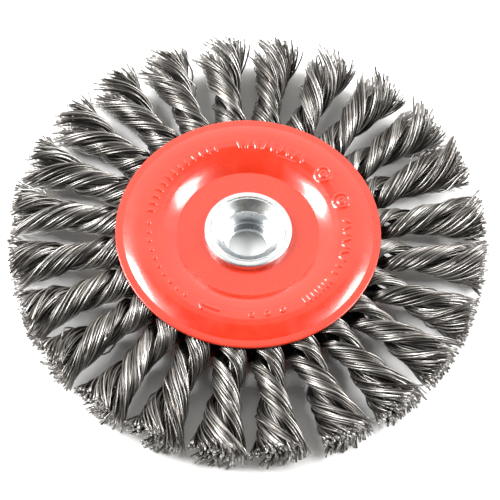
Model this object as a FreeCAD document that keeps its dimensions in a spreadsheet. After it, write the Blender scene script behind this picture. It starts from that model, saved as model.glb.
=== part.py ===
"""Knotted wire wheel brush: a plain-bored steel hub, two dished face plates, two spacer washers, a
drilled knot ring and the twisted wire knots threaded through it.

Row frame in millimetres: the origin is on the bore axis in the wheel's middle plane, and +Z runs along
the axis towards the front plate, so the wheel lies flat on the sides of its knots with +Z up.
"""

import FreeCAD, Part
import math
import os

import Sketcher

PARTS_FOLDER = "parts"
SHEET = "dims"
TWIST_STEPS = 14  # spans of a knot's loft
HALF_OUTLINE_SPANS = 8  # spans of half an outline of a knot
STRAND_ASPECT = 0.62  # a knot's short half width over its long one, where the twist begins
TIP_ASPECT = 0.86  # the same at the trimmed tip, where the wires have spread
LEG_OVERLAP = 0.8  # how far a leg runs into the twist
TRIM = 0.5  # how far a knot runs past the brush's edge before it is trimmed

# Driving dimensions: alias, millimetres (or a count, or degrees), meaning.
DIMENSIONS = (
    ("knot_count", 24, "knots around the wheel"),
    ("brush_dia", 150.0, "outside diameter over the trimmed wire tips"),
    ("bore_dia", 12.0, "arbor bore"),
    ("bore_chamfer", 0.4, "chamfer at the bore's back mouth"),
    ("well_dia", 16.6, "wide part of the hub's inside, above the bore"),
    ("well_floor", -4.1, "flat ledge round the bore's inner mouth"),
    ("well_top", 3.1, "height where the well opens into the funnel"),
    ("spigot_dia", 22.2, "hub spigot through plates, spacers and ring"),
    ("funnel_dia", 22.6, "mouth of the funnel in the spigot's swaged end"),
    ("lip_dia", 23.6, "swaged end of the spigot"),
    ("lip_height", 5.8, "top edge of the swaged end"),
    ("lip_edge", 0.3, "height of the swaged end's outer edge"),
    ("lip_root", 4.4, "height where the spigot starts to flare"),
    ("collar_dia", 27.8, "hub collar and clamp ring"),
    ("collar_face", 6.0, "seating faces from the middle plane"),
    ("collar_chamfer", 0.5, "chamfer on the collar and the clamp ring"),
    ("plate_thick", 1.0, "sheet thickness of a face plate"),
    ("plate_dia", 83.8, "face plate"),
    ("plate_flat_dia", 45.2, "clamped flat in the middle of a face plate"),
    ("band_dia", 60.9, "diameter where the raised band's two slopes would meet"),
    ("band_peak", 9.84, "height where the raised band's two slopes would meet"),
    ("band_radius", 16.0, "rounding of the raised band's outer face"),
    ("rim_in_dia", 79.0, "inner edge of the plate's rim"),
    ("rim_rise", 5.9, "outer face of the rim from the middle plane"),
    ("bend_radius", 0.5, "inside radius of the plate's hollow bends"),
    ("rim_edge_radius", 0.4, "rounding of the rim's edge"),
    ("spacer_dia", 42.0, "spacer washer"),
    ("spacer_thick", 1.6, "spacer washer"),
    ("ring_thick", 2.0, "knot ring"),
    ("ring_dia", 76.0, "knot ring"),
    ("hole_circle_dia", 66.0, "circle of the knot holes"),
    ("knot_hole_dia", 6.4, "one knot hole"),
    ("loop_dia", 6.0, "wire loop where a knot passes through its hole"),
    ("loop_rise", 5.3, "end of the loop from the middle plane"),
    ("leg_half_width", 3.0, "half width of a leg over the ring"),
    ("leg_half_thick", 1.8, "half thickness of a leg over the ring"),
    ("leg_clearance", 0.2, "gap between a leg and the ring's face"),
    ("twist_start_dia", 77.0, "diameter where the two strands start to turn"),
    ("root_dia", 10.8, "knot thickness just outside the face plates"),
    ("neck_dia", 8.6, "knot thickness at its narrowest"),
    ("tip_dia", 16.8, "knot thickness at the trimmed tips"),
    ("root_end_dia", 92.0, "diameter where the knot is at its root thickness"),
    ("neck_place_dia", 104.0, "diameter where the knot is narrowest"),
    ("flare_power", 1.5, "how late the knot flares towards its tip"),
    ("twist_angle", 395.0, "turn of the two strands from root to tip, degrees"),
)


def make_sheet(doc):
    """The spreadsheet with every driving dimension in a named cell."""
    sheet = doc.addObject("Spreadsheet::Sheet", SHEET)
    for row, (alias, value, meaning) in enumerate(DIMENSIONS, start=1):
        sheet.set("A%d" % row, alias)
        sheet.set("B%d" % row, str(value))
        sheet.set("C%d" % row, meaning)
        sheet.setAlias("B%d" % row, alias)
    doc.recompute()
    return sheet


def cell(name, factor=""):
    """Expression text for one cell, such as dims.bore_dia / 2."""
    return SHEET + "." + name + factor


# The clamped stack is symmetric: half of it is half the ring, one spacer and one plate.
STACK_HALF = " + ".join((cell("ring_thick", " / 2"), cell("spacer_thick"), cell("plate_thick")))


def origin_plane(body, role):
    """One of a body's own origin planes."""
    return next(item for item in body.Origin.OriginFeatures if item.Role == role)


def closed_outline(body, name, corners):
    """Sketch on the body's XZ plane: straight lines through corners, each corner a pair of expressions
    (distance from the axis, height), fixed by named dimensions bound to the sheet."""
    sketch = body.newObject("Sketcher::SketchObject", name)
    sketch.AttachmentSupport = (origin_plane(body, "XZ_Plane"), [""])
    sketch.MapMode = "FlatFace"
    values = [tuple(body.evalExpression(text) for text in corner) for corner in corners]
    points = [FreeCAD.Vector(float(x), float(y), 0) for x, y in values]
    for start, end in zip(points, points[1:] + points[:1]):
        sketch.addGeometry(Part.LineSegment(start, end), False)
    count = len(points)
    for index in range(count):
        following = (index + 1) % count
        sketch.addConstraint(Sketcher.Constraint("Coincident", index, 2, following, 1))
    for index, (across, up) in enumerate(corners):
        for kind, letter, text, value in (
            ("DistanceX", "x", across, points[index].x),
            ("DistanceY", "y", up, points[index].y),
        ):
            if text == "0":
                sketch.addConstraint(Sketcher.Constraint("PointOnObject", index, 1, -1))
                continue
            made = sketch.addConstraint(
                Sketcher.Constraint(kind, -1, 1, index, 1, value)
            )
            label = "%s%d" % (letter, index)
            sketch.renameConstraint(made, label)
            sketch.setExpression("Constraints." + label, text)
    return sketch


def turned_body(doc, label, corners):
    """A PartDesign body whose outline is turned once about the Z axis."""
    body = doc.addObject("PartDesign::Body", label)
    outline = closed_outline(body, label + "_outline", corners)
    turned = body.newObject("PartDesign::Revolution", label + "_turned")
    turned.Profile = outline
    turned.ReferenceAxis = (outline, ["V_Axis"])
    turned.Angle = 360
    outline.Visibility = False
    doc.recompute()
    return body


def circle_edges(shape, rings):
    """Names of the circular edges about Z that lie on the (radius, height) rings."""
    names = []
    for number, edge in enumerate(shape.Edges, start=1):
        curve = edge.Curve
        if curve.TypeId != "Part::GeomCircle":
            continue
        for radius, height in rings:
            same_radius = abs(curve.Radius - radius) < 1e-4
            if same_radius and abs(curve.Center.z - height) < 1e-4:
                names.append("Edge%d" % number)
    if len(names) != len(rings):
        raise RuntimeError("found %d of %d edges" % (len(names), len(rings)))
    return names


def round_rings(doc, body, rings, radius):
    """A PartDesign fillet of one radius on the given circular edges of the body."""
    base = body.Tip
    fillet = body.newObject("PartDesign::Fillet", body.Label + "_round")
    fillet.Base = (base, circle_edges(base.Shape, rings))
    fillet.setExpression("Radius", radius)
    doc.recompute()
    if not fillet.Shape.Volume or abs(fillet.Shape.Volume - base.Shape.Volume) < 1e-6:
        raise RuntimeError(body.Label + ": a fillet changed nothing")


def face_plate(doc, label):
    """Dished sheet-steel plate: a clamped flat, a rounded band raised over the wire loops, and a lower
    rim that nips the knots."""
    thinner, thicker = " - " + cell("plate_thick"), " + " + cell("plate_thick")
    flat = STACK_HALF
    top = [
        (cell("spigot_dia", " / 2"), flat),
        (cell("plate_flat_dia", " / 2"), flat),
        (cell("band_dia", " / 2"), cell("band_peak")),
        (cell("rim_in_dia", " / 2"), cell("rim_rise")),
        (cell("plate_dia", " / 2"), cell("rim_rise")),
    ]
    bottom = [(across, up + thinner) for across, up in reversed(top)]
    body = turned_body(doc, label, top + bottom)
    rings = [tuple(float(body.evalExpression(text)) for text in ring) for ring in top]
    thick = float(body.evalExpression(cell("plate_thick")))
    lower = [(radius, height - thick) for radius, height in rings]
    valley, band, rim_in, rim_edge = range(1, 5)
    hollow, crest = cell("bend_radius"), cell("band_radius")
    round_rings(doc, body, [rings[rim_edge], lower[rim_edge]], cell("rim_edge_radius"))
    round_rings(doc, body, [rings[band]], crest)
    round_rings(doc, body, [lower[band]], crest + thinner)
    round_rings(doc, body, [rings[valley], rings[rim_in]], hollow)
    round_rings(doc, body, [lower[valley], lower[rim_in]], hollow + thicker)
    return body


def washer(doc, label, outer, low, high):
    """Flat ring round the spigot, between two heights."""
    inner = cell("spigot_dia", " / 2")
    corners = [(inner, low), (outer, low), (outer, high), (inner, high)]
    return turned_body(doc, label, corners)


def spacers(doc):
    """The two plain washers that fill the stack between the knot ring and the plates' flats."""
    ring = cell("ring_thick", " / 2")
    outer = cell("spacer_dia", " / 2")
    far = ring + " + " + cell("spacer_thick")
    front = washer(doc, "front_spacer", outer, ring, far)
    back = washer(doc, "back_spacer", outer, "-(%s)" % far, "-" + ring)
    return [front, back]


def knot_ring(doc):
    """Flat steel ring with one hole for each knot, clamped between the face plates."""
    half = cell("ring_thick", " / 2")
    body = washer(doc, "knot_ring", cell("ring_dia", " / 2"), "-" + half, half)
    sketch = body.newObject("Sketcher::SketchObject", "knot_hole_circle")
    sketch.AttachmentSupport = (origin_plane(body, "XY_Plane"), [""])
    sketch.MapMode = "FlatFace"
    reach = float(body.evalExpression(cell("hole_circle_dia", " / 2")))
    radius = float(body.evalExpression(cell("knot_hole_dia", " / 2")))
    centre = FreeCAD.Vector(reach, 0, 0)
    sketch.addGeometry(Part.Circle(centre, FreeCAD.Vector(0, 0, 1), radius), False)
    sketch.addConstraint(Sketcher.Constraint("PointOnObject", 0, 3, -1))
    for kind, arguments, label, text in (
        ("DistanceX", (-1, 1, 0, 3, reach), "reach", cell("hole_circle_dia", " / 2")),
        ("Radius", (0, radius), "radius", cell("knot_hole_dia", " / 2")),
    ):
        made = sketch.addConstraint(Sketcher.Constraint(kind, *arguments))
        sketch.renameConstraint(made, label)
        sketch.setExpression("Constraints." + label, text)
    blank = body.Tip.Shape.Volume
    hole = body.newObject("PartDesign::Pocket", "knot_hole")
    hole.Profile = sketch
    hole.Type = "ThroughAll"
    hole.SideType = "Symmetric"
    sketch.Visibility = False
    doc.recompute()
    pattern = body.newObject("PartDesign::PolarPattern", "knot_holes")
    pattern.Originals = [hole]
    pattern.Axis = (sketch, ["N_Axis"])
    pattern.Angle = 360
    pattern.setExpression("Occurrences", cell("knot_count"))
    body.Tip = pattern
    doc.recompute()
    count = float(body.evalExpression(cell("knot_count")))
    thick = float(body.evalExpression(cell("ring_thick")))
    drilled = count * math.pi * radius**2 * thick
    if abs(blank - pattern.Shape.Volume - drilled) > 0.01 * drilled:
        raise RuntimeError("the knot ring's holes are not all cut")
    return body


def hub_sleeve(doc):
    """Turned steel hub: a thick back collar with the arbor bore, and a thin-walled spigot that runs
    through the stack and is swaged outwards into the clamp ring."""
    bore, well, funnel, spigot, lip, collar = (
        cell(name + "_dia", " / 2")
        for name in ("bore", "well", "funnel", "spigot", "lip", "collar")
    )
    chamfer, bevel = cell("bore_chamfer"), cell("collar_chamfer")
    back = "-" + cell("collar_face")
    corners = [
        (bore + " + " + chamfer, back),
        (collar + " - " + bevel, back),
        (collar, back + " + " + bevel),
        (collar, "-(%s)" % STACK_HALF),
        (spigot, "-(%s)" % STACK_HALF),
        (spigot, cell("lip_root")),
        (lip, cell("lip_height") + " - " + cell("lip_edge")),
        (lip, cell("lip_height")),
        (funnel, cell("lip_height")),
        (well, cell("well_top")),
        (well, cell("well_floor")),
        (bore, cell("well_floor")),
        (bore, back + " + " + chamfer),
    ]
    return turned_body(doc, "hub_sleeve", corners)


def clamp_ring(doc):
    """Plated steel ring on the front plate, countersunk for the hub's swaged end."""
    spigot, lip, collar = (
        cell(name, " / 2") for name in ("spigot_dia", "lip_dia", "collar_dia")
    )
    bevel, top = cell("collar_chamfer"), cell("collar_face")
    corners = [
        (spigot, STACK_HALF),
        (collar, STACK_HALF),
        (collar, top + " - " + bevel),
        (collar + " - " + bevel, top),
        (lip, top),
        (lip, cell("lip_height") + " - " + cell("lip_edge")),
        (spigot, cell("lip_root")),
    ]
    return turned_body(doc, "clamp_ring", corners)


def smooth(share):
    """0 to 1 with a gentle start and end."""
    share = min(1.0, max(0.0, share))
    return share * share * (3 - 2 * share)


def knot_radius(size, reach):
    """Half thickness of a twisted knot at a distance from the wheel's axis."""
    root, neck, tip = (size(name) / 2 for name in ("root_dia", "neck_dia", "tip_dia"))
    root_end, neck_place = size("root_end_dia") / 2, size("neck_place_dia") / 2
    if reach < neck_place:
        narrowed = smooth((reach - root_end) / (neck_place - root_end))
        return root + (neck - root) * narrowed
    flared = (reach - neck_place) / (size("brush_dia") / 2 - neck_place)
    return neck + (tip - neck) * flared ** size("flare_power")


def lobed_outline(reach, long_half, short_half, angle):
    """Closed outline of two strands side by side, in the plane x = reach, as two smooth half turns.
    angle is the direction of the line through both strands, from +Y towards +Z."""
    halves = []
    for start in (angle, angle + math.pi):
        points = []
        for step in range(HALF_OUTLINE_SPANS + 1):
            around = math.pi * step / HALF_OUTLINE_SPANS
            radius = short_half + (long_half - short_half) * math.cos(around) ** 2
            outwards = FreeCAD.Vector(0, math.cos(start + around), math.sin(start + around))
            points.append(FreeCAD.Vector(reach, 0, 0) + outwards * radius)
        seam = FreeCAD.Vector(0, -math.sin(start), math.cos(start))
        half = Part.BSplineCurve()
        half.interpolate(Points=points, InitialTangent=seam, FinalTangent=-seam)
        halves.append(half.toShape())
    return Part.Wire(halves)


def twisted_strands(size):
    """A knot's two strands twisted together, along +X from the ring's edge to just past the trimmed tip,
    as one loft of turned outlines."""
    start, root_end = size("twist_start_dia") / 2, size("root_end_dia") / 2
    tip = size("brush_dia") / 2 + TRIM
    leg_half = leg_height(size) + size("leg_half_thick")
    outlines = []
    for step in range(TWIST_STEPS + 1):
        share = step / TWIST_STEPS
        reach = start + (tip - start) * share
        joined = smooth((reach - start) / (root_end - start))
        whole = knot_radius(size, reach)
        long_half = leg_half + (whole - leg_half) * joined
        short_share = STRAND_ASPECT + (TIP_ASPECT - STRAND_ASPECT) * share
        short_half = size("leg_half_width")
        short_half += (whole * short_share - short_half) * joined
        angle = math.pi / 2 - math.radians(size("twist_angle")) * share
        outlines.append(lobed_outline(reach, long_half, short_half, angle))
    return Part.makeLoft(outlines, True, False)


def leg_height(size):
    """Height of a leg's middle line above or below the middle plane."""
    return size("ring_thick") / 2 + size("leg_half_thick") + size("leg_clearance")


def leg(size, side):
    """One straight leg beside the ring, from the knot hole into the twist. side is 1 for the front."""
    start = FreeCAD.Vector(size("hole_circle_dia") / 2, 0, side * leg_height(size))
    wide, thick = size("leg_half_width"), size("leg_half_thick")
    across, up = FreeCAD.Vector(0, wide, 0), FreeCAD.Vector(0, 0, thick)
    ellipse = Part.Ellipse(start + across, start + up, start)
    reach = size("twist_start_dia") / 2 + LEG_OVERLAP - start.x
    return Part.Face(Part.Wire([ellipse.toShape()])).extrude(FreeCAD.Vector(reach, 0, 0))


def knot_shape(size):
    """One knot along +X about the middle plane: a wire loop through the ring's hole, its two legs over
    the ring's edge, and the two strands twisted together and trimmed to the brush's edge."""
    rise = size("loop_rise")
    start = FreeCAD.Vector(size("hole_circle_dia") / 2, 0, -rise)
    loop = Part.makeCylinder(size("loop_dia") / 2, 2 * rise, start)
    height = 2 * size("tip_dia")
    below = FreeCAD.Vector(0, 0, -height / 2)
    brush = Part.makeCylinder(size("brush_dia") / 2, height, below)
    trimmed = twisted_strands(size).common(brush)
    knot = loop.fuse([leg(size, 1), leg(size, -1)]).fuse(trimmed)
    if len(knot.Solids) != 1 or knot.Volume < trimmed.Volume:
        raise RuntimeError("the knot came out as %d solids" % len(knot.Solids))
    return knot.Solids[0]


def knots(doc, sheet):
    """The identical knots, each a feature of its own, turned to its place about the axis."""

    def size(name):
        return float(getattr(sheet, name))

    shape = knot_shape(size)
    count = int(size("knot_count"))
    made = []
    for number in range(count):
        knot = doc.addObject("Part::Feature", "knot_%02d" % (number + 1))
        knot.Shape = shape
        turn = FreeCAD.Rotation(FreeCAD.Vector(0, 0, 1), 360.0 * number / count)
        knot.Placement = FreeCAD.Placement(FreeCAD.Vector(), turn)
        made.append(knot)
    return made


def build():
    """Makes the document and returns it with the list of sub-parts."""
    doc = FreeCAD.newDocument("wheel_brush")
    sheet = make_sheet(doc)
    front = face_plate(doc, "front_plate")
    back = face_plate(doc, "back_plate")
    over = FreeCAD.Rotation(FreeCAD.Vector(1, 0, 0), 180)
    back.Placement = FreeCAD.Placement(FreeCAD.Vector(), over)
    subparts = [front, back, knot_ring(doc), hub_sleeve(doc), clamp_ring(doc)]
    subparts += spacers(doc)
    subparts += knots(doc, sheet)
    doc.recompute()
    return doc, subparts


def check(doc, subparts):
    """Stops before anything is written if a feature failed or a shape isn't a sound solid."""
    for item in doc.Objects:
        if "Invalid" in item.State or "Error" in item.State:
            raise RuntimeError("%s failed: %s" % (item.Name, item.State))
    for item in subparts:
        shape = item.Shape
        if shape.isNull() or not shape.isValid() or shape.Volume <= 0:
            raise RuntimeError("%s has no sound shape" % item.Label)
        if not all(solid.isClosed() for solid in shape.Solids) or not shape.Solids:
            raise RuntimeError("%s is not a closed solid" % item.Label)


def main():
    doc, subparts = build()
    check(doc, subparts)
    os.makedirs(PARTS_FOLDER, exist_ok=True)
    for item in subparts:
        item.Shape.exportStep(os.path.join(PARTS_FOLDER, item.Label + ".step"))
        print("%-12s %9.1f mm3" % (item.Label, item.Shape.Volume))


main()
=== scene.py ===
"""Studio picture of a knotted wire wheel brush lying on a pale floor.

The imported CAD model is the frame. Its knots are replaced by bundles of separate wires, and its
plates, hub and clamp ring by smooth turned meshes of the same profiles. Shapes are worked out in
millimetres along +X or round +Z, and turned into metres when a mesh is made.
"""
import math

import bpy
import numpy as np
from mathutils import Matrix, Vector


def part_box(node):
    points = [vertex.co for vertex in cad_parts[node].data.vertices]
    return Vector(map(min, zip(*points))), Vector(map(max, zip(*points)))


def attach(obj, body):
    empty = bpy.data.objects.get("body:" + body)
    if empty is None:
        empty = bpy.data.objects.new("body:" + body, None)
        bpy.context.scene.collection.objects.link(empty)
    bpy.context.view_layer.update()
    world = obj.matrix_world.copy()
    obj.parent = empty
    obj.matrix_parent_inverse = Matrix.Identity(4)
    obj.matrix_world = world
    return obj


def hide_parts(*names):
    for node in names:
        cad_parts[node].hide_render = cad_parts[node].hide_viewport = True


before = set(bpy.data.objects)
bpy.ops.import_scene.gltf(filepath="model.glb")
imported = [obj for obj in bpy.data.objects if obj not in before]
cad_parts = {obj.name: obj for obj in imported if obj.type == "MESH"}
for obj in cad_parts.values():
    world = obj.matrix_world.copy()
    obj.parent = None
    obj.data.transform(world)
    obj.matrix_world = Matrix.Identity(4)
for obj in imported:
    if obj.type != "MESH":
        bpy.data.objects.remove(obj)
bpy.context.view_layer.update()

MM = 0.001
SEED = 24

# Sizes of the wheel in millimetres, from the frame where a node's box gives them.
KNOT_NAMES = sorted(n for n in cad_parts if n.startswith("knot_") and n != "knot_ring")
BRUSH_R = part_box("knot_01")[1].x / MM        # the trimmed wire tips
TIP_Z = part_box("knot_01")[1].z / MM          # half the brush's thickness at the tips
PLATE_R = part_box("front_plate")[1].x / MM
CREST_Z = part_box("front_plate")[1].z / MM    # top of the plate's raised band
FLAT_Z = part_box("clamp_ring")[0].z / MM      # outer face of the plate's clamped flat
FACE_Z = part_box("clamp_ring")[1].z / MM      # the hub's seating faces
COLLAR_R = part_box("clamp_ring")[1].x / MM
LIP_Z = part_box("hub_sleeve")[1].z / MM       # top of the hub's swaged end

# The plates' section, in millimetres. The heights are the front plate's outer face.
SHEET = 1.0                                  # plate thickness
FLAT_R = 22.6                                # edge of the clamped flat
BAND_R, BAND_Z = 30.45, 9.84                 # where the raised band's slopes would meet
BAND_ROUND = 16.0                            # the arc that joins them
RIM_IN_R, RIM_Z = 39.5, 5.9                  # inner edge and height of the rim
BEND = 0.5                                   # the sharper bends, outside
BEND_INSIDE = 1.5                            # and inside, where they are the sheet thicker
RIM_EDGE = 0.4
FRONT_STEPS, BACK_STEPS = 700, 360           # steps round a plate
COARSE, FINE = 2.0, 0.36                     # longest span of a section, plain and marked

# The hub's section, in millimetres.
SPIGOT_R = 11.1
SPIGOT_TOP_Z = 4.4                           # where the spigot starts to flare
LIP_R = 11.8
LIP_EDGE = 0.3                               # height of the swaged end's outer edge
SEAM = 0.2                                   # width of the line between the lip and the ring
FUNNEL_R = 11.3
FUNNEL_BEND = (9.6, 4.1)                     # radius and height of a slight bend in the funnel
WELL_R, WELL_TOP_Z, WELL_FLOOR_Z = 8.3, 3.1, -4.1
BORE_R = 6.0
BORE_CHAMFER = 0.4
HUB_STEPS = 256

# Generic marks pressed into the front plate's raised band.
MARKS_R = 31.2
MARKS_REACH = 4.5                            # half width of the stretch that carries marks
MARK_HEIGHT = 0.26
MARK_SOFT = 0.5                              # width of a mark's slope

# Knots of folded wires, in millimetres along a knot from the wheel's axis.
WIRES = 62                                   # each folded into both strands
WIRE_R = 0.3
WIRE_SIDES = 5
HOLE_CIRCLE_R = 33.0
HOLE_HALF = 2.9                              # room for the wires' middles in a hole of the ring
LEG_Z, LEG_HALF = 3.0, 1.8                   # a leg's height over the middle plane, half thickness
LEG_R = 37.0                                 # where the straight legs meet the fold
FAN_HALF = (4.1, 4.8)                        # half width of the front and the back leg's fan
TWIST_START_R = 41.0
TWIST = math.radians(340)
ROOT_HALF, NECK_HALF = 5.3, 4.25             # half thickness of a knot where it joins and necks
NECK_START_R, NECK_R = 43.0, 51.5
SPLAY_R = 65.0                               # the wires spread from here to the tips
OUT_POINTS = 25                              # points of a wire from the leg to the tip
FOLD_POINTS = 7

# The camera, and its turn round the wheel so that the knots fall as they should.
PHASE = math.radians(5.0)
CAMERA_ELEVATION = math.radians(59.05)
CAMERA_ROLL = math.radians(2.55)
CAMERA_DISTANCE = 0.5
CAMERA_SHIFT = (0.0041, -0.0232)
LENS = 113.1

# The studio, in metres and watts.
FLOOR_HALF = 3.0
FLOOR_GAP = 0.45                             # millimetres from the tips down to the floor
SOFTBOX_DISTANCE, SOFTBOX_SIZE = 0.9, (0.40, 0.44)
LEFT_POWER, RIGHT_POWER, FILL_POWER = 14, 10, 1.5
TENT_COLOUR = (1, 0.975, 0.93, 1)
TENT_DARK, TENT_BRIGHT, TENT_SIDES = 0.12, 1.5, 0.7


# ---------------------------------------------------------------- small helpers


def smooth(share):
    """0 to 1 with a gentle start and end, for a number or an array."""
    share = np.clip(share, 0, 1)
    return share * share * (3 - 2 * share)


def new_object(name, mesh, material, node):
    """Puts a finished mesh in the scene as the piece that stands for a CAD node."""
    piece = bpy.data.objects.new(name, mesh)
    bpy.context.scene.collection.objects.link(piece)
    mesh.materials.append(material)
    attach(piece, "root")
    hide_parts(node)
    return piece


def mesh_from_arrays(name, points, quads, caps=None):
    """A mesh of smooth quads and flat end caps, from points in millimetres."""
    mesh = bpy.data.meshes.new(name)
    caps = np.zeros((0, 3), int) if caps is None else caps
    mesh.vertices.add(len(points))
    mesh.vertices.foreach_set("co", (points * MM).astype(np.float32).ravel())
    sides = caps.shape[1]
    corners = np.concatenate([quads.ravel(), caps.ravel()])
    mesh.loops.add(len(corners))
    mesh.loops.foreach_set("vertex_index", corners.astype(np.int32))
    starts = [np.arange(len(quads)) * 4, len(quads) * 4 + np.arange(len(caps)) * sides]
    mesh.polygons.add(len(quads) + len(caps))
    mesh.polygons.foreach_set("loop_start", np.concatenate(starts).astype(np.int32))
    is_smooth = np.ones(len(quads) + len(caps), bool)
    is_smooth[len(quads):] = False
    mesh.polygons.foreach_set("use_smooth", is_smooth)
    mesh.update(calc_edges=True)
    mesh.validate()
    return mesh


# ---------------------------------------------------------------- materials


def new_material(name):
    """A new node material, its node tree and its Principled shader."""
    material = bpy.data.materials.new(name)
    material.use_nodes = True
    tree = material.node_tree
    shader = tree.nodes["Principled BSDF"]
    return material, tree, shader


def add_node(tree, kind, **inputs):
    """A node with its unlinked inputs set. Input names with spaces use underscores."""
    node = tree.nodes.new(kind)
    for key, value in inputs.items():
        node.inputs[key.replace("_", " ")].default_value = value
    return node


def add_noise(tree, scale, detail=2.0, roughness=0.5, stretch=None):
    """Noise over the piece's own coordinates, in metres, stretched if asked."""
    where = tree.nodes.new("ShaderNodeTexCoord").outputs["Object"]
    if stretch:
        mapping = add_node(tree, "ShaderNodeMapping", Scale=stretch)
        tree.links.new(where, mapping.inputs["Vector"])
        where = mapping.outputs["Vector"]
    noise = add_node(tree, "ShaderNodeTexNoise", Scale=scale, Detail=detail, Roughness=roughness)
    tree.links.new(where, noise.inputs["Vector"])
    return noise.outputs["Fac"]


def add_ramp(tree, source, stops):
    """A colour ramp over source. stops are (place, colour)."""
    ramp = tree.nodes.new("ShaderNodeValToRGB")
    elements = ramp.color_ramp.elements
    while len(elements) < len(stops):
        elements.new(0.5)
    for element, (place, colour) in zip(elements, stops):
        element.position = place
        element.color = (*colour, 1)
    tree.links.new(source, ramp.inputs["Fac"])
    return ramp.outputs["Color"]


def add_range(tree, source, low, high, from_low=0.0, from_high=1.0):
    """source mapped from one range to another."""
    node = tree.nodes.new("ShaderNodeMapRange")
    limits = {"From Min": from_low, "From Max": from_high, "To Min": low, "To Max": high}
    for key, value in limits.items():
        node.inputs[key].default_value = value
    tree.links.new(source, node.inputs["Value"])
    return node.outputs["Result"]


def add_bump(tree, shader, height, strength, distance):
    """Bump from a height, chained to any bump that is already there."""
    bump = add_node(tree, "ShaderNodeBump", Strength=strength, Distance=distance)
    before = shader.inputs["Normal"].links
    if before:
        tree.links.new(before[0].from_socket, bump.inputs["Normal"])
    tree.links.new(height, bump.inputs["Height"])
    tree.links.new(bump.outputs["Normal"], shader.inputs["Normal"])


def enamel_material():
    """Orange-red stoving enamel: glossy, with orange peel, uneven depth and a few dull spots."""
    material, tree, shader = new_material("red_enamel")
    cloud = add_noise(tree, 60, 3)
    colour = add_ramp(tree, cloud, ((0.3, (0.45, 0.016, 0.002)), (0.7, (0.50, 0.022, 0.004))))
    tree.links.new(colour, shader.inputs["Base Color"])
    dull = add_noise(tree, 240, 2, 0.5)
    tree.links.new(add_range(tree, dull, 0.25, 0.35, 0.3, 0.75), shader.inputs["Roughness"])
    shader.inputs["Specular IOR Level"].default_value = 0.6
    shader.inputs["Coat Weight"].default_value = 0.7
    shader.inputs["Coat Roughness"].default_value = 0.12
    add_bump(tree, shader, add_noise(tree, 900, 2), 0.10, 0.0002)
    return material


def zinc_material():
    """Bright zinc plating over turned steel: fine turning rings and a faint cool and warm tint."""
    material, tree, shader = new_material("zinc_plate")
    shader.inputs["Metallic"].default_value = 1
    tint = add_noise(tree, 180, 3)
    stops = ((0.30, (0.66, 0.71, 0.75)), (0.55, (0.74, 0.76, 0.77)), (0.80, (0.78, 0.77, 0.72)))
    tree.links.new(add_ramp(tree, tint, stops), shader.inputs["Base Color"])
    tree.links.new(add_range(tree, add_noise(tree, 500, 4), 0.20, 0.38), shader.inputs["Roughness"])
    place = tree.nodes.new("ShaderNodeTexCoord").outputs["Object"]
    flat = tree.nodes.new("ShaderNodeVectorMath")
    flat.operation = "MULTIPLY"
    flat.inputs[1].default_value = (1, 1, 0.8)
    tree.links.new(place, flat.inputs[0])
    length = tree.nodes.new("ShaderNodeVectorMath")
    length.operation = "LENGTH"
    tree.links.new(flat.outputs["Vector"], length.inputs[0])
    rings = tree.nodes.new("ShaderNodeTexNoise")
    rings.noise_dimensions = "1D"
    rings.inputs["Scale"].default_value = 3500
    rings.inputs["Detail"].default_value = 3
    tree.links.new(length.outputs["Value"], rings.inputs["W"])
    add_bump(tree, shader, rings.outputs["Fac"], 0.25, 0.00008)
    return material


def plain_steel_material():
    """Rolled steel with an oil film, for the ring and the spacers inside."""
    material, tree, shader = new_material("plain_steel")
    shader.inputs["Metallic"].default_value = 1
    grain = add_noise(tree, 300, 4, 0.6, (1, 8, 1))
    colour = add_ramp(tree, grain, ((0.3, (0.20, 0.19, 0.18)), (0.75, (0.42, 0.41, 0.40))))
    tree.links.new(colour, shader.inputs["Base Color"])
    tree.links.new(add_range(tree, grain, 0.3, 0.5), shader.inputs["Roughness"])
    add_bump(tree, shader, grain, 0.2, 0.0001)
    return material


def wire_material():
    """Drawn steel wire: each wire has its own grey, darker and browner in patches."""
    material, tree, shader = new_material("wire_steel")
    shader.inputs["Metallic"].default_value = 1
    shade = add_node(tree, "ShaderNodeAttribute")
    shade.attribute_name = "shade"
    stops = ((0.0, (0.065, 0.060, 0.056)), (0.5, (0.25, 0.24, 0.23)), (1.0, (0.62, 0.61, 0.60)))
    colour = add_ramp(tree, shade.outputs["Fac"], stops)
    stops = ((0.3, (0.62, 0.59, 0.56)), (0.65, (1, 1, 1)))
    patches = add_ramp(tree, add_noise(tree, 260, 3), stops)
    mix = tree.nodes.new("ShaderNodeMix")
    mix.data_type = "RGBA"
    mix.blend_type = "MULTIPLY"
    mix.inputs["Factor"].default_value = 1
    tree.links.new(colour, mix.inputs["A"])
    tree.links.new(patches, mix.inputs["B"])
    tree.links.new(mix.outputs["Result"], shader.inputs["Base Color"])
    tree.links.new(add_range(tree, add_noise(tree, 700, 3), 0.22, 0.42), shader.inputs["Roughness"])
    return material


def floor_material():
    """Matt white paper with a trace of tooth."""
    material, tree, shader = new_material("white_paper")
    stops = ((0.3, (0.90, 0.90, 0.895)), (0.7, (0.93, 0.93, 0.925)))
    colour = add_ramp(tree, add_noise(tree, 8, 2), stops)
    tree.links.new(colour, shader.inputs["Base Color"])
    shader.inputs["Roughness"].default_value = 0.9
    shader.inputs["Specular IOR Level"].default_value = 0.1
    return material


# ---------------------------------------------------------------- turned parts


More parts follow.
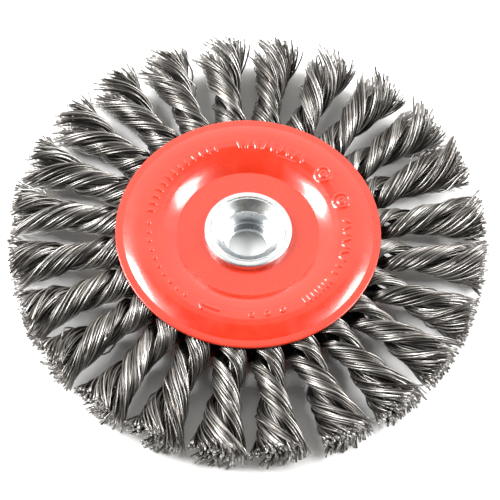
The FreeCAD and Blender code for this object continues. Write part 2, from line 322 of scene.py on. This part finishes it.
def rounded(corners, arc_steps=8):
    """A closed outline through corners, each (radius, height, rounding), with arcs as rounding."""
    outline = []
    count = len(corners)
    for index, (radius, height, rounding) in enumerate(corners):
        here = np.array((radius, height))
        if not rounding:
            outline.append(here)
            continue
        before = np.array(corners[index - 1][:2]) - here
        after = np.array(corners[(index + 1) % count][:2]) - here
        before /= np.linalg.norm(before)
        after /= np.linalg.norm(after)
        half = math.acos(np.clip(before @ after, -1, 1)) / 2
        middle = (before + after) / np.linalg.norm(before + after)
        centre = here + middle * rounding / math.sin(half)
        start = here + before * rounding / math.tan(half) - centre
        end = here + after * rounding / math.tan(half) - centre
        turn = math.atan2(start[0] * end[1] - start[1] * end[0], start @ end)
        for step in range(arc_steps + 1):
            angle = turn * step / arc_steps
            c, s = math.cos(angle), math.sin(angle)
            outline.append(centre + (c * start[0] - s * start[1], s * start[0] + c * start[1]))
    return np.array(outline)


def divided(outline, longest, fine=None):
    """The closed outline with points added so that no span is longer than asked.

    fine is (inner radius, outer radius, longest) for the stretch that carries marks.
    """
    points = []
    for here, there in zip(outline, np.roll(outline, -1, axis=0)):
        marked = fine and fine[0] < (here[0] + there[0]) / 2 < fine[1]
        spans = max(1, math.ceil(np.linalg.norm(there - here) / (fine[2] if marked else longest)))
        points += [here + (there - here) * step / spans for step in range(spans)]
    return np.array(points)


def turned_mesh(name, outline, steps, relief=None):
    """The closed outline turned round +Z. relief(radius, angle, height) lifts points."""
    count = len(outline)
    angles = np.arange(steps) * 2 * math.pi / steps
    radius = np.repeat(outline[None, :, 0], steps, axis=0)
    height = np.repeat(outline[None, :, 1], steps, axis=0)
    around = np.repeat(angles[:, None], count, axis=1)
    if relief:
        height = height + relief(radius, around, height)
    points = np.stack([radius * np.cos(around), radius * np.sin(around), height], axis=2)
    a = np.arange(steps)[:, None] * count + np.arange(count)[None, :]
    b = np.arange(steps)[:, None] * count + (np.arange(count)[None, :] + 1) % count
    c, d = np.roll(b, -1, axis=0), np.roll(a, -1, axis=0)
    quads = np.stack([a, b, c, d], axis=2).reshape(-1, 4)
    after = np.roll(outline, -1, axis=0)
    area = np.sum(outline[:, 0] * after[:, 1] - after[:, 0] * outline[:, 1])
    if area > 0:                                   # keep the faces pointing outwards
        quads = quads[:, ::-1]
    mesh = mesh_from_arrays(name, points.reshape(-1, 3), quads)
    mesh.set_sharp_from_angle(angle=math.radians(40))
    return mesh


def plate_outline(side):
    """A face plate's section: clamped flat, raised band, lower rim. side is 1 for the front."""
    top = [
        (SPIGOT_R, FLAT_Z, 0),
        (FLAT_R, FLAT_Z, BEND),
        (BAND_R, BAND_Z, BAND_ROUND),
        (RIM_IN_R, RIM_Z, BEND),
        (PLATE_R, RIM_Z, RIM_EDGE),
    ]
    bottom_rounding = (RIM_EDGE, BEND_INSIDE, BAND_ROUND - SHEET, BEND_INSIDE, 0)
    bottom = [
        (radius, height - SHEET, rounding)
        for (radius, height, _), rounding in zip(reversed(top), bottom_rounding)
    ]
    corners = [(radius, side * height, rounding) for radius, height, rounding in top + bottom]
    return rounded(corners)


def raised(distance):
    """1 inside a mark (distance below 0), falling softly to 0 outside."""
    return smooth(0.5 - distance / MARK_SOFT)


def box_mark(along, across, middle, long_half, wide_half, tilt=0.0):
    """Signed distance to a bar with its middle at (along, across) = middle."""
    u, v = along - middle[0], across - middle[1]
    c, s = math.cos(tilt), math.sin(tilt)
    p, q = np.abs(c * u + s * v) - long_half, np.abs(-s * u + c * v) - wide_half
    outside = np.hypot(np.maximum(p, 0), np.maximum(q, 0))
    return outside + np.minimum(np.maximum(p, q), 0)


def ring_mark(along, across, middle, radius, wide_half):
    """Signed distance to a small circle line."""
    return np.abs(np.hypot(along - middle[0], across - middle[1]) - radius) - wide_half


def band_relief(radius, around, height):
    """Generic raised marks on the front plate's band: bars, dots, rings and a turning arrow."""

    def clock(degrees):
        """Arc length from a clock position, and distance out from the marks' circle."""
        middle = math.pi / 2 - PHASE - math.radians(degrees)
        turned = (around - middle + math.pi) % (2 * math.pi) - math.pi
        return -turned * MARKS_R, radius - MARKS_R

    lift = np.zeros_like(radius)

    def press(distance):
        """Adds one mark to the lift."""
        np.maximum(lift, raised(distance), out=lift)

    along, across = clock(2)
    for step in range(-4, 5):                      # a zigzag at the top, over a short bar
        press(box_mark(along, across, (step * 2.7, 0.0), 0.36, 1.5, 0.32 * (-1) ** step))
    press(box_mark(along, across, (4.0, -2.7), 5.5, 0.2, 0.06))
    for degrees in (38, 59):                       # two round symbols
        along, across = clock(degrees)
        press(ring_mark(along, across, (0, 0), 2.5, 0.3))
        press(ring_mark(along, across, (0, 0), 0.9, 0.4))
    along, across = clock(86)
    for step in range(-3, 4):                      # a wider zigzag on the right
        press(box_mark(along, across, (step * 2.3, 0.0), 0.32, 1.4, 0.5 * (-1) ** step))
    for degrees in (104, 109):
        along, across = clock(degrees)
        press(box_mark(along, across, (0, 0), 0.32, 1.0))
    along, across = clock(125)
    for step in range(-3, 4):                      # close bars at the lower right
        press(box_mark(along, across, (step * 1.7, 0.0), 0.34, 1.4))
    for degrees in (148, 157, 166):
        along, across = clock(degrees)
        press(ring_mark(along, across, (0, 0), 0.8, 0.25))
    along, across = clock(190)                     # turning arrow
    press(box_mark(along, across, (0, 0), 3.2, 0.32))
    press(box_mark(along, across, (2.8, 0.7), 1.1, 0.3, -0.75))
    press(box_mark(along, across, (2.8, -0.7), 1.1, 0.3, 0.75))
    for degrees in range(206, 262, 6):             # dots on the lower left
        along, across = clock(degrees)
        press(ring_mark(along, across, (0, 0), 0.0, 0.6))
    for degrees in range(268, 330, 5):             # fine dashes on the left
        along, across = clock(degrees)
        press(box_mark(along, across, (0, 0), 0.3, 1.1))
    outside = height > CREST_Z - 0.6               # leaves the plate's inner face smooth
    return lift * MARK_HEIGHT * outside


def make_plates(enamel):
    """Front plate with its raised marks, and the back plate."""
    marked = (MARKS_R - MARKS_REACH, MARKS_R + MARKS_REACH, FINE)
    front = divided(plate_outline(1), COARSE, marked)
    mesh = turned_mesh("front_plate_pressed", front, FRONT_STEPS, band_relief)
    new_object("front_plate_pressed", mesh, enamel, "front_plate")
    mesh = turned_mesh("back_plate_pressed", divided(plate_outline(-1), COARSE), BACK_STEPS)
    new_object("back_plate_pressed", mesh, enamel, "back_plate")


def make_hub(zinc):
    """The hub sleeve with its swaged end, and the clamp ring round it."""
    sleeve = [
        (BORE_R + BORE_CHAMFER, -FACE_Z, 0.1),
        (COLLAR_R, -FACE_Z, 0.5),
        (COLLAR_R, -FLAT_Z, 0),
        (SPIGOT_R, -FLAT_Z, 0),
        (SPIGOT_R, SPIGOT_TOP_Z, 0),
        (LIP_R, LIP_Z - LIP_EDGE, 0),
        (LIP_R, LIP_Z, 0.22),
        (FUNNEL_R, LIP_Z, 0.3),
        (*FUNNEL_BEND, 0.4),
        (WELL_R, WELL_TOP_Z, 0.5),
        (WELL_R, WELL_FLOOR_Z, 0.3),
        (BORE_R, WELL_FLOOR_Z, 0.15),
        (BORE_R, BORE_CHAMFER - FACE_Z, 0.1),
    ]
    mesh = turned_mesh("hub_sleeve_turned", divided(rounded(sleeve), 1.0), HUB_STEPS)
    new_object("hub_sleeve_turned", mesh, zinc, "hub_sleeve")
    ring = [
        (SPIGOT_R, FLAT_Z, 0),
        (COLLAR_R, FLAT_Z, 0.12),
        (COLLAR_R, FACE_Z, 0.6),
        (LIP_R + SEAM, FACE_Z, 0.1),
        (LIP_R, LIP_Z - LIP_EDGE, 0),
        (SPIGOT_R, SPIGOT_TOP_Z, 0),
    ]
    mesh = turned_mesh("clamp_ring_turned", divided(rounded(ring), 1.0), HUB_STEPS)
    new_object("clamp_ring_turned", mesh, zinc, "clamp_ring")


# ---------------------------------------------------------------- wire knots


def knot_half_width(reach):
    """Half thickness of a knot along its length: thick at the root, necked, flared at the tip."""
    narrowed = smooth((reach - NECK_START_R) / (NECK_R - NECK_START_R))
    flared = np.clip((reach - NECK_R) / (BRUSH_R - NECK_R), 0, 1.1) ** 1.5
    return ROOT_HALF + (NECK_HALF - ROOT_HALF) * narrowed + (TIP_Z - NECK_HALF) * flared


def disc_places(rng, count):
    """Evenly spread places in the unit disc, with a little disorder."""
    index = np.arange(count) + 0.5
    radius = np.sqrt(index / count)
    angle = index * math.pi * (3 - math.sqrt(5)) + rng.uniform(0, 2 * math.pi)
    places = np.stack([radius * np.cos(angle), radius * np.sin(angle)], axis=1)
    return places + rng.normal(0, 0.035, places.shape)


def strand_points(rng, places, side, habit):
    """Wires of one strand along +X from leg to tip, as an array of (wires, points, 3).

    places are the wires' places in the strand, in a unit disc. side is 0 for the front leg and 1
    for the back leg. A strand starts as a flat fan and turns into half of the twisted knot.
    """
    count = len(places)
    ends = BRUSH_R + np.clip(rng.normal(-0.1, 0.45, count), -1.8, 1.2)
    share = np.linspace(0, 1, OUT_POINTS)[None, :]
    reach = LEG_R + (ends[:, None] - LEG_R) * share
    p, q = places[:, :1], places[:, 1:]
    run = np.clip((reach - TWIST_START_R) / (BRUSH_R - TWIST_START_R), 0, 1)
    turned = habit["twist"] * (1.38 * run - 0.38 * run**2)
    angle = math.pi / 2 + math.pi * side + habit["start"] * smooth(run * 6) - turned
    half = knot_half_width(reach) * (1 + (habit["girth"] - 1) * smooth((reach - 42) / 8))
    joined = smooth((reach - 41.5) / 7.5)          # 0 in the fan, 1 in the twist
    fanned = smooth((reach - LEG_R) / 4.5)         # 0 at the ring's hole, 1 across the whole fan
    out = LEG_Z + (LEG_HALF - 0.3 * fanned) * p    # out from the knot's axis, towards the angle
    out = out + (half * (0.5 + 0.5 * p) - out) * joined
    wide = (HOLE_HALF + (FAN_HALF[side] - HOLE_HALF) * fanned) * q
    wide = wide + (half * (0.80 + 0.12 * run) * q - wide) * joined
    y = out * np.cos(angle) - wide * np.sin(angle)
    z = out * np.sin(angle) + wide * np.cos(angle)
    loose = smooth((reach - 42) / 10)
    for wave in (1, 2, 4):                         # no wire lies quite straight
        size = 0.11 / wave**0.7 * loose
        phases = rng.uniform(0, 2 * math.pi, (2, count, 1))
        y = y + size * np.sin(wave * 5.0 * run + phases[0])
        z = z + size * np.sin(wave * 5.0 * run + phases[1])
    splay = np.clip((reach - SPLAY_R) / (BRUSH_R - SPLAY_R), 0, 1.2) ** 2
    lean = habit["lean"] * np.clip((reach - 45) / 30, 0, 1.1) ** 2
    y = y * (1 + 0.12 * splay) + splay * rng.normal(0, 0.7, (count, 1)) + lean
    z = z + splay * rng.normal(0, 0.7, (count, 1))
    for stray in rng.choice(count, habit["strays"], replace=False):
        start, length = rng.uniform(52, 64), rng.uniform(7, 13)
        along = np.clip((reach[stray] - start) / length, 0, 1)
        bulge = rng.uniform(1.0, 2.6) * np.sin(math.pi * along) ** 2
        away = np.hypot(y[stray], z[stray]) + 0.3
        y[stray] += bulge * y[stray] / away
        z[stray] += bulge * z[stray] / away
    z = np.clip(z, -TIP_Z - 0.12, TIP_Z + 0.1)     # off the floor, and close to the CAD box
    return np.stack([reach, y, z], axis=2)


def fold_points(places):
    """The fold of each wire through its hole in the ring, from the front leg to the back leg.

    The back leg is the front one turned half round the knot's axis, so wires cross in the hole.
    """
    p, q = places[:, :1], places[:, 1:]
    height = LEG_Z + LEG_HALF * p
    inner = HOLE_CIRCLE_R - 2.5 * p
    angle = np.linspace(0, math.pi, FOLD_POINTS + 2)[None, 1:-1]
    x = LEG_R - (LEG_R - inner) * np.sin(angle)
    y = HOLE_HALF * q * np.cos(angle)
    z = height * np.cos(angle)
    return np.stack([x, y, z], axis=2)


def tube_mesh(name, lines, radius, shade):
    """Round wires along lines, an array of (wires, points, 3), with flat cut ends."""
    wires, count, _ = lines.shape
    tangent = np.gradient(lines, axis=1)
    tangent /= np.linalg.norm(tangent, axis=2, keepdims=True)
    normal = np.zeros_like(lines)
    side = np.cross(tangent[:, 0], np.array((0.13, 0.31, 0.94)))   # along none of the wires
    normal[:, 0] = side / np.linalg.norm(side, axis=1, keepdims=True)
    for step in range(1, count):
        along = np.sum(normal[:, step - 1] * tangent[:, step], axis=1, keepdims=True)
        carried = normal[:, step - 1] - along * tangent[:, step]
        normal[:, step] = carried / np.linalg.norm(carried, axis=1, keepdims=True)
    other = np.cross(tangent, normal)
    angle = np.arange(WIRE_SIDES) * 2 * math.pi / WIRE_SIDES
    around = (
        normal[:, :, None] * np.cos(angle)[None, None, :, None]
        + other[:, :, None] * np.sin(angle)[None, None, :, None]
    )
    points = lines[:, :, None] + around * radius
    number = np.arange(wires * count * WIRE_SIDES).reshape(wires, count, WIRE_SIDES)
    a, b = number[:, :-1], number[:, 1:]
    quads = np.stack([a, np.roll(a, -1, axis=2), np.roll(b, -1, axis=2), b], axis=3).reshape(-1, 4)
    caps = np.concatenate([number[:, 0, ::-1], number[:, -1]])
    mesh = mesh_from_arrays(name, points.reshape(-1, 3), quads, caps)
    attribute = mesh.attributes.new("shade", "FLOAT", "POINT")
    attribute.data.foreach_set("value", np.repeat(shade, count * WIRE_SIDES).astype(np.float32))
    return mesh


def make_knot(name, index, steel):
    """One knot of folded and twisted wires, turned to its place on the wheel."""
    rng = np.random.default_rng(SEED + index)
    habit = {
        "twist": TWIST + math.radians(rng.normal(0, 12)),
        "start": math.radians(rng.normal(0, 9)),
        "girth": rng.normal(1.0, 0.03),
        "lean": rng.normal(0, 0.8),
        "strays": int(rng.integers(1, 4)),
    }
    places = disc_places(rng, WIRES)
    front = strand_points(rng, places, 0, habit)
    back = strand_points(rng, places, 1, habit)
    lines = np.concatenate([front[:, ::-1], fold_points(places), back], axis=1)
    turn = 2 * math.pi * index / len(KNOT_NAMES)
    c, s = math.cos(turn), math.sin(turn)
    lines = lines @ np.array(((c, s, 0), (-s, c, 0), (0, 0, 1)))
    around = np.arctan2(places[:, 1], places[:, 0])
    streaks = 0.2 * np.sin(3 * around + rng.uniform(0, 6))
    streaks = streaks + 0.12 * np.sin(7 * around + rng.uniform(0, 6))
    shade = np.clip(0.5 + streaks + rng.normal(0, 0.2, WIRES), 0, 1)
    mesh = tube_mesh(name + "_wires", lines, WIRE_R, shade)
    new_object(name + "_wires", mesh, steel, name)


# ---------------------------------------------------------------- studio


def add_camera():
    """The camera, at the picture's viewing angle."""
    data = bpy.data.cameras.new("camera")
    data.lens = LENS
    data.sensor_width = 36
    data.shift_x, data.shift_y = CAMERA_SHIFT
    camera = bpy.data.objects.new("camera", data)
    bpy.context.scene.collection.objects.link(camera)
    c, s = math.cos(CAMERA_ELEVATION), math.sin(CAMERA_ELEVATION)
    back = Vector((math.sin(PHASE) * c, -math.cos(PHASE) * c, s))
    camera.location = back * CAMERA_DISTANCE
    aim = (-back).to_track_quat("-Z", "Y").to_matrix() @ Matrix.Rotation(CAMERA_ROLL, 3, "Z")
    camera.rotation_euler = aim.to_euler()
    bpy.context.scene.camera = camera


def add_softbox(name, azimuth, elevation, distance, size, power):
    """A rectangular soft light aimed at the wheel. Azimuth 0 is +X, 90 is away from the camera."""
    data = bpy.data.lights.new(name, "AREA")
    data.shape = "RECTANGLE"
    data.size, data.size_y = size
    data.energy = power
    light = bpy.data.objects.new(name, data)
    bpy.context.scene.collection.objects.link(light)
    a, e = math.radians(azimuth) + PHASE, math.radians(elevation)
    away = Vector((math.cos(a) * math.cos(e), math.sin(a) * math.cos(e), math.sin(e)))
    light.location = away * distance
    light.rotation_euler = away.to_track_quat("Z", "Y").to_euler()
    return light


def add_tent():
    """Surroundings like a light tent: pale behind and beside, dark at the camera and overhead."""
    world = bpy.data.worlds.new("studio")
    bpy.context.scene.world = world
    world.use_nodes = True
    tree = world.node_tree
    direction = tree.nodes.new("ShaderNodeTexCoord").outputs["Generated"]

    def share(axis, low, high, absolute):
        """0 to 1 as the direction turns towards an axis."""
        dot = tree.nodes.new("ShaderNodeVectorMath")
        dot.operation = "DOT_PRODUCT"
        dot.inputs[1].default_value = axis
        tree.links.new(direction, dot.inputs[0])
        towards = dot.outputs["Value"]
        if absolute:
            size = tree.nodes.new("ShaderNodeMath")
            size.operation = "ABSOLUTE"
            tree.links.new(towards, size.inputs[0])
            towards = size.outputs["Value"]
        node = tree.nodes.new("ShaderNodeMapRange")
        node.interpolation_type = "SMOOTHSTEP"
        for key, value in (("From Min", low), ("From Max", high), ("To Min", 0), ("To Max", 1)):
            node.inputs[key].default_value = value
        tree.links.new(towards, node.inputs["Value"])
        return node.outputs["Result"]

    behind = share((-math.sin(PHASE), math.cos(PHASE), 0), 0.25, 0.5, False)
    beside = share((math.cos(PHASE), math.sin(PHASE), 0), 0.45, 0.8, True)
    brightest = tree.nodes.new("ShaderNodeMath")
    brightest.operation = "MAXIMUM"
    tree.links.new(behind, brightest.inputs[0])
    tree.links.new(add_range(tree, beside, 0, TENT_SIDES), brightest.inputs[1])
    strength = add_range(tree, brightest.outputs["Value"], TENT_DARK, TENT_BRIGHT)
    background = tree.nodes["Background"]
    background.inputs["Color"].default_value = TENT_COLOUR
    tree.links.new(strength, background.inputs["Strength"])


def add_studio():
    """White floor, tent, softboxes on the left and the right, and a faint fill from above."""
    floor_mesh = bpy.data.meshes.new("floor")
    half, level = FLOOR_HALF, -(TIP_Z + FLOOR_GAP) * MM
    square = ((-half, -half), (half, -half), (half, half), (-half, half))
    corners = [(x, y, level) for x, y in square]
    floor_mesh.from_pydata(corners, [], [(0, 1, 2, 3)])
    floor_mesh.materials.append(floor_material())
    floor = bpy.data.objects.new("floor", floor_mesh)
    bpy.context.scene.collection.objects.link(floor)
    add_tent()
    add_softbox("left_softbox", 173, 43, SOFTBOX_DISTANCE, SOFTBOX_SIZE, LEFT_POWER)
    add_softbox("right_softbox", 3, 43, SOFTBOX_DISTANCE, SOFTBOX_SIZE, RIGHT_POWER)
    fill = add_softbox("top_fill", 90, 80, 1.3, (1.4, 1.4), FILL_POWER)
    fill.visible_glossy = False                    # lights the floor without a reflection of itself
    bpy.context.scene.view_settings.view_transform = "Standard"


# ---------------------------------------------------------------- everything

steel = wire_material()
zinc = zinc_material()
enamel = enamel_material()
inner_steel = plain_steel_material()
for node in ("knot_ring", "front_spacer", "back_spacer"):
    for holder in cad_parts[node].material_slots:
        holder.material = inner_steel
make_plates(enamel)
make_hub(zinc)
for number, knot_name in enumerate(KNOT_NAMES):
    make_knot(knot_name, number, steel)
add_camera()
add_studio()

bpy.context.view_layer.update()
